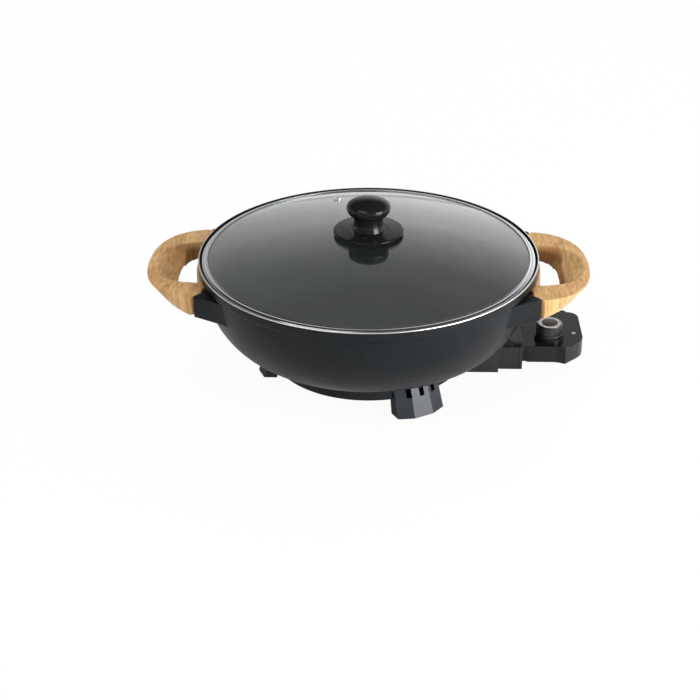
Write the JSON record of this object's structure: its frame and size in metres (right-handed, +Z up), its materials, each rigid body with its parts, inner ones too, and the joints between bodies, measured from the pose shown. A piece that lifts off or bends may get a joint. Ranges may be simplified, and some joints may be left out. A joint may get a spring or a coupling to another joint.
{
  "type": "electric wok",
  "caption": "Electric wok with a cast pan, wooden side handles, feet, a lift-off domed glass lid and a plug-in temperature control with a dial.",
  "frame": {"origin": "on the table, under the bowl's axis", "axes": "+Z up, +X towards the handle above the temperature control, -Y towards the front foot"},
  "size_m": [0.47, 0.361, 0.2022],
  "materials": {
    "pan_coating": "die-cast aluminium with a satin, speckled black non-stick coat",
    "wood": "laminated light hardwood, oiled, vertical staves",
    "glass": "clear tempered glass",
    "polished_steel": "polished stainless steel",
    "bright_steel": "zinc-plated or stainless steel",
    "plate_steel": "plain aluminium sheet",
    "element_sheath": "matt heat-stained steel tube",
    "gloss_black": "high-gloss black phenolic",
    "satin_black": "satin black phenolic",
    "foot_plastic": "satin dark grey phenolic",
    "rubber": "matt black silicone",
    "gland_rubber": "matt black flexible sleeve",
    "insulator": "pale heat-resistant moulding",
    "contact_brass": "plain brass",
    "lens": "clear to milky plastic",
    "lamp_glass": "small glow lamp"
  },
  "bodies": {
    "wok": {"pan": "pan_coating", "handle_lugs": "pan_coating", "fixing_bosses": "plate_steel", "heating_element": "element_sheath", "terminal_pins": "bright_steel", "probe_guide": "bright_steel", "base_ring": "satin_black", "heat_plate": "plate_steel", "base_screws": "bright_steel", "foot_left": "foot_plastic", "foot_front": "foot_plastic", "foot_rear": "foot_plastic", "foot_pads": "rubber", "socket_guard": "satin_black", "guard_screws": "bright_steel", "handle_left": "wood", "handle_right": "wood", "handle_studs": "bright_steel"},
    "lid": {"lid_glass": "glass", "lid_band": "polished_steel", "vent_grommet": "polished_steel", "lid_knob": "gloss_black", "knob_disc": "gloss_black", "knob_seal": "rubber", "knob_washer": "rubber", "knob_screw": "bright_steel"},
    "control": {"control_base": "gloss_black", "control_cover": "gloss_black", "contact_block": "insulator", "contact_sleeves": "contact_brass", "probe_rod": "bright_steel", "switch_frame": "insulator", "indicator_lens": "lens", "indicator_lamp": "lamp_glass", "cord_gland": "gland_rubber", "cord_clamp": "insulator", "clamp_screws": "bright_steel", "control_screws": "bright_steel"},
    "dial": {"dial": "gloss_black", "dial_scale": "polished_steel", "dial_shaft": "bright_steel"}
  },
  "joints": [
    {"name": "lid_lift", "type": "slide", "parent": "wok", "child": "lid", "axis": [0, 0, 1], "range_m": [0, 0.2]},
    {"name": "control_pull", "type": "slide", "parent": "wok", "child": "control", "axis": [1, 0, 0], "range_m": [0, 0.11]},
    {"name": "dial_turn", "type": "hinge", "parent": "control", "child": "dial", "pos_m": [0.1965, 0, 0.046], "axis": [0, 0, -1], "range_deg": [0, 270]}
  ]
}
